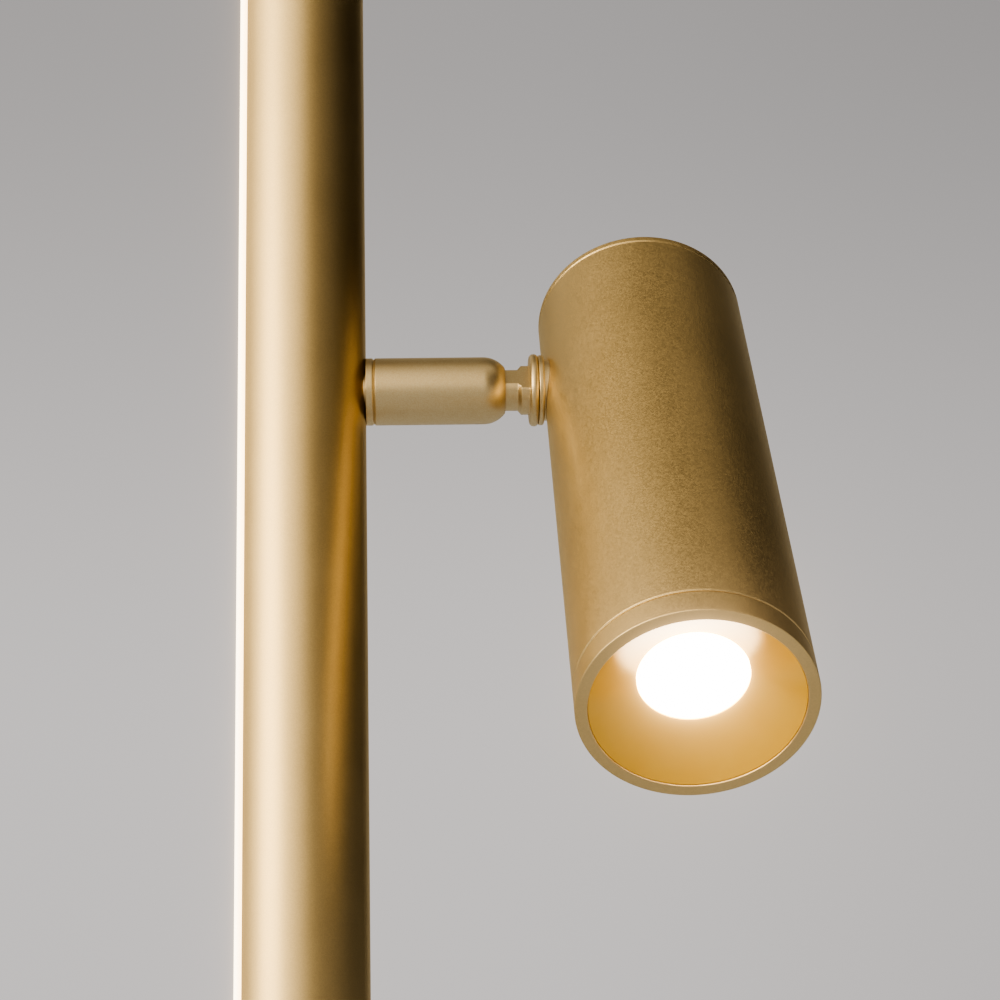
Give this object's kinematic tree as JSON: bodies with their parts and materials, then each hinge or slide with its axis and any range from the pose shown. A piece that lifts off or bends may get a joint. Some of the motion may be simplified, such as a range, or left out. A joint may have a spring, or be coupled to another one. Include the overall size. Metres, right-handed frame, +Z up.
{
  "type": "tension pole lamp",
  "caption": "Floor-to-ceiling sprung pole lamp with a light line down the pole and a swivelling cylindrical spot head on a short side arm.",
  "frame": {"origin": "centre of the floor pad's underside, on the pole's axis", "axes": "+Z up along the pole; +X along the arm to the spot head; the light line faces -X; the head's lit end points to -Y and down"},
  "size_m": [0.1841, 0.1621, 2.5],
  "materials": {
    "gold_pole": "satin champagne-gold paint, fine metallic",
    "gold_steel": "satin champagne-gold paint on steel",
    "gold_head": "satin champagne-gold paint, fine metallic sparkle",
    "gold_turned": "satin gold, turned",
    "reflector_gold": "smooth satin gold inside",
    "opal": "opal diffuser, lit",
    "lens_opal": "opal lens, lit",
    "rubber": "matt black",
    "steel": "bright steel",
    "brass": "plain turned brass",
    "nylon": "natural nylon",
    "black_plastic": "black moulded",
    "board": "white board",
    "chips": "light-emitting chips",
    "sink": "plain extruded",
    "wire": "grey sheath"
  },
  "bodies": {
    "pole": {"floor_pad": "rubber", "foot_plate": "gold_steel", "foot_spigot": "sink", "foot_screw": "steel", "grub_screws": "steel", "light_tube": "gold_pole", "strip_diffuser": "opal", "strip_board": "board", "strip_leds": "chips", "cord_gland": "black_plastic", "gland_nut": "black_plastic", "led_driver": "black_plastic", "pole_wire": "wire", "button_bezel": "gold_turned", "button_nut": "brass", "switch_body": "black_plastic", "coupling": "gold_pole", "sleeve_tube": "gold_pole", "lock_collet": "nylon", "arm_base": "gold_turned", "arm_washer": "steel", "arm_nut": "brass", "arm_barrel": "gold_turned", "thrust_sleeve": "nylon", "spring_washers": "steel", "friction_washer": "nylon"},
    "button": {"switch_button": "gold_turned"},
    "collar": {"lock_collar": "gold_turned"},
    "mast": {"upper_tube": "gold_pole", "slide_bush": "nylon", "spring_stop": "steel", "tension_spring": "steel", "end_bush": "gold_turned"},
    "ceiling": {"plunger": "steel", "ceiling_cup": "gold_steel", "cup_screw": "steel", "ceiling_pad": "rubber"},
    "head": {"swivel_stud": "gold_turned", "jam_ring": "gold_turned", "saddle_spacer": "gold_turned", "inner_saddle": "nylon", "head_nut": "brass", "head_shell": "gold_head", "rear_cap": "gold_head", "front_bezel": "gold_head", "reflector": "reflector_gold", "lens": "lens_opal", "lens_ring": "nylon", "led_board": "board", "board_screws": "steel", "heat_sink": "sink", "head_wire": "wire"}
  },
  "joints": [
    {"name": "head_swivel", "type": "hinge", "parent": "pole", "child": "head", "pos_m": [0.05, 0, 1.45], "axis": [-1, 0, 0], "range_deg": [-205, 130]},
    {"name": "mast_slide", "type": "slide", "parent": "pole", "child": "mast", "axis": [0, 0, 1], "range_m": [-0.2, 0.2]},
    {"name": "ceiling_spring", "type": "slide", "parent": "mast", "child": "ceiling", "axis": [0, 0, 1], "range_m": [-0.03, 0], "stiffness_N_per_m": 2500, "springref_m": 0.008, "deforming": ["tension_spring"]},
    {"name": "collar_twist", "type": "hinge", "parent": "pole", "child": "collar", "pos_m": [0, 0, 2.186], "axis": [0, 0, 1], "range_deg": [0, 90]},
    {"name": "button_press", "type": "slide", "parent": "pole", "child": "button", "axis": [-1, 0, 0], "range_m": [0, 0.0012], "stiffness_N_per_m": 900, "springref_m": -0.001}
  ]
}
